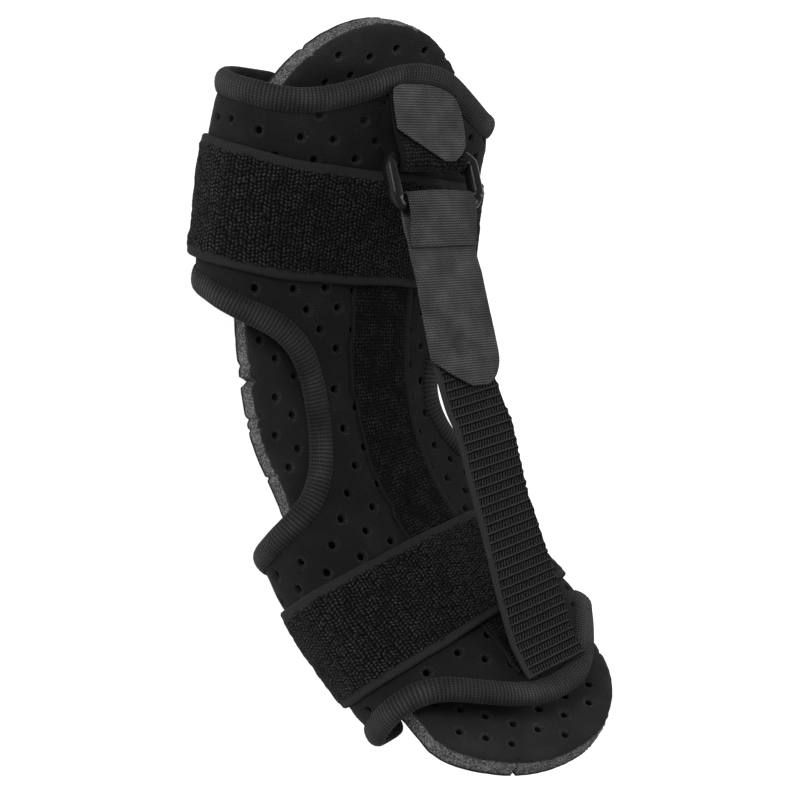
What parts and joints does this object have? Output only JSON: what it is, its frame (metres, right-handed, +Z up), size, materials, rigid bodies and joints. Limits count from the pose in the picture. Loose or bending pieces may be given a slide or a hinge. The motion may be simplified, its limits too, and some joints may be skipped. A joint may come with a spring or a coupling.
{
  "type": "foot drop brace",
  "caption": "Soft dorsal foot drop brace: calf and foot cuffs on one bound panel with a long foam pad behind it, wrap straps and a front pull strap with a slide buckle.",
  "frame": {"origin": "on the floor under the middle of the part's bounding box", "axes": "+Z up, +Y toward the calf end, -Y toward the toe end, +X across; it lies on its back with the shin side up"},
  "size_m": [0.161, 0.3328, 0.1284],
  "materials": {
    "pad": "fabric-faced foam, matt",
    "pad_core": "open-cell foam edge, speckled, matt",
    "knit_body": "perforated knit-faced neoprene, matt",
    "binding": "ribbed elastic tape, soft sheen",
    "loop_patch": "short loop pile",
    "loop_strap": "loop pile strap with smooth edges",
    "ribbed_strap": "cross-ribbed loop strap",
    "grey_webbing": "fine plain-weave tape",
    "buckle_plastic": "smooth gloss plastic"
  },
  "bodies": {
    "root": {"foam_pad": "pad", "brace_body": "knit_body", "edge_binding": "binding", "stay_sleeve": "loop_patch", "upper_strap": "loop_strap", "lower_strap": "loop_strap", "tension_strap": "ribbed_strap", "webbing_tab": "grey_webbing", "anchor_strap": "loop_strap", "top_tab": "grey_webbing", "buckle": "buckle_plastic"}
  },
  "joints": []
}
